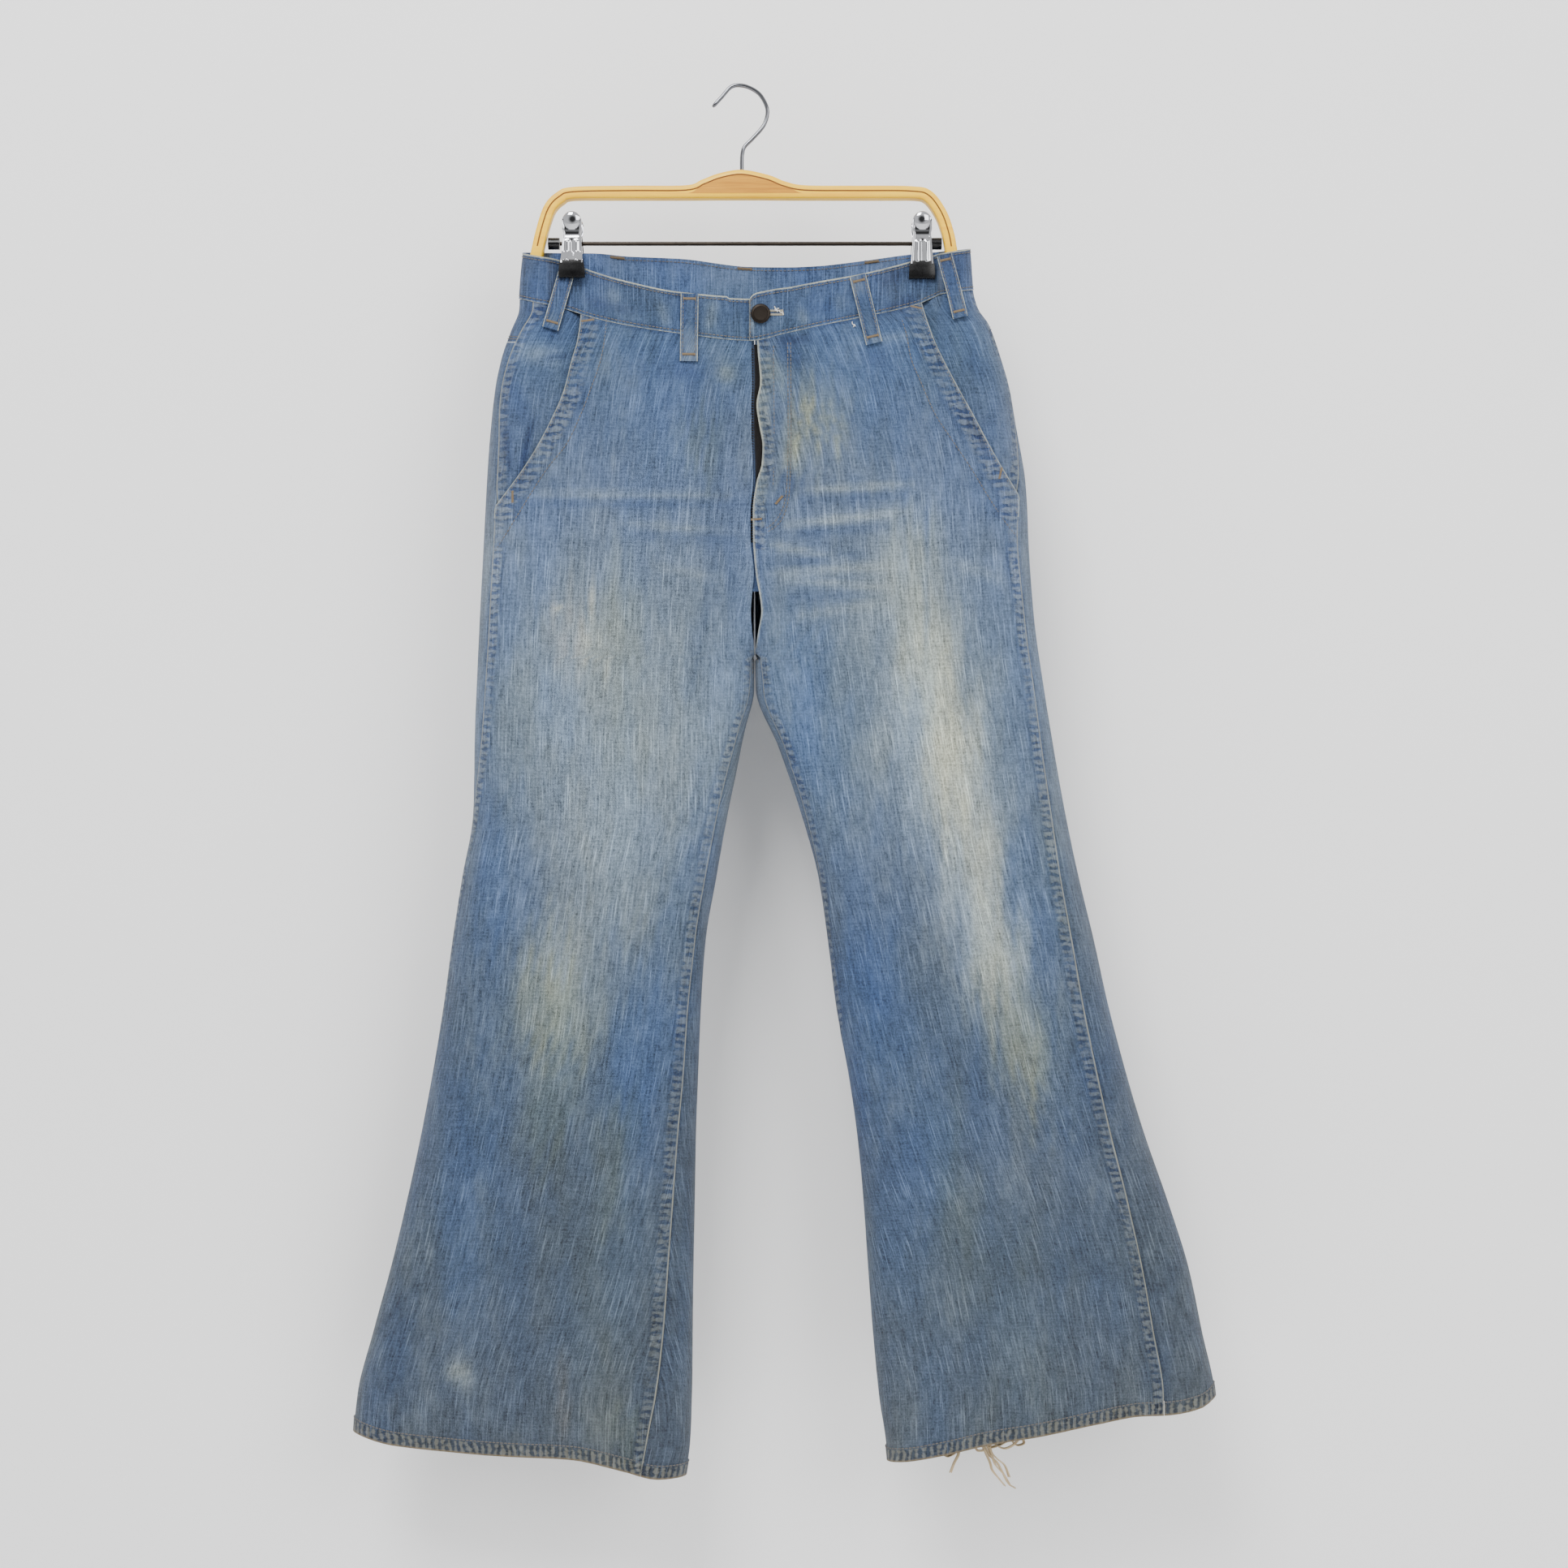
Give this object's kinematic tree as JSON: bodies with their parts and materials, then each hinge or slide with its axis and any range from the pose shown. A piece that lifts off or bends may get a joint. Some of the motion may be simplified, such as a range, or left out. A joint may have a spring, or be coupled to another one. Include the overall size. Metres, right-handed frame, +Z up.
{
  "type": "wide-leg jeans on a clip hanger",
  "caption": "Faded wide-leg denim jeans hanging open and flat from a wooden clip hanger, with slanted pockets, belt loops and a lapped, buttoned waistband.",
  "frame": {"origin": "inside top of the hanger's hook, where it rests on a rail or peg", "axes": "+Z up, +X towards the wearer's left, +Y towards the wearer's back"},
  "size_m": [0.7637, 0.0812, 1.2379],
  "materials": {
    "denim_front": "worn matte",
    "denim_back": "worn matte",
    "denim_band": "worn matte",
    "denim_loop": "worn matte",
    "denim_inside": "worn matte",
    "antique_metal": "dark antique",
    "chrome": "polished",
    "pale_wood": "satin",
    "dark_wood": "satin",
    "dark_steel": "satin black",
    "black_rubber": "satin"
  },
  "bodies": {
    "root": {"front_right": "denim_front", "front_left": "denim_front", "back_right": "denim_back", "back_left": "denim_back", "yoke_right": "denim_back", "yoke_left": "denim_back", "back_pocket_right": "denim_back", "back_pocket_left": "denim_back", "pocket_facing_right": "denim_inside", "pocket_facing_left": "denim_inside", "fly_underlap": "denim_inside", "waistband": "denim_band", "belt_loop_front_right_outer": "denim_loop", "belt_loop_front_right_inner": "denim_loop", "belt_loop_front_left_inner": "denim_loop", "belt_loop_front_left_outer": "denim_loop", "belt_loop_back_right": "denim_loop", "belt_loop_back_centre": "denim_loop", "belt_loop_back_left": "denim_loop", "button": "antique_metal", "hook": "chrome", "hanger_frame": "pale_wood", "frame_insert": "dark_wood", "rod": "dark_steel", "rod_cap_right": "black_rubber", "rod_cap_left": "black_rubber", "clip_right_front": "chrome", "clip_right_back": "chrome", "clip_right_eye": "dark_steel", "clip_right_jaw_front": "black_rubber", "clip_right_jaw_back": "black_rubber", "clip_left_front": "chrome", "clip_left_back": "chrome", "clip_left_eye": "dark_steel", "clip_left_jaw_front": "black_rubber", "clip_left_jaw_back": "black_rubber"}
  },
  "joints": []
}
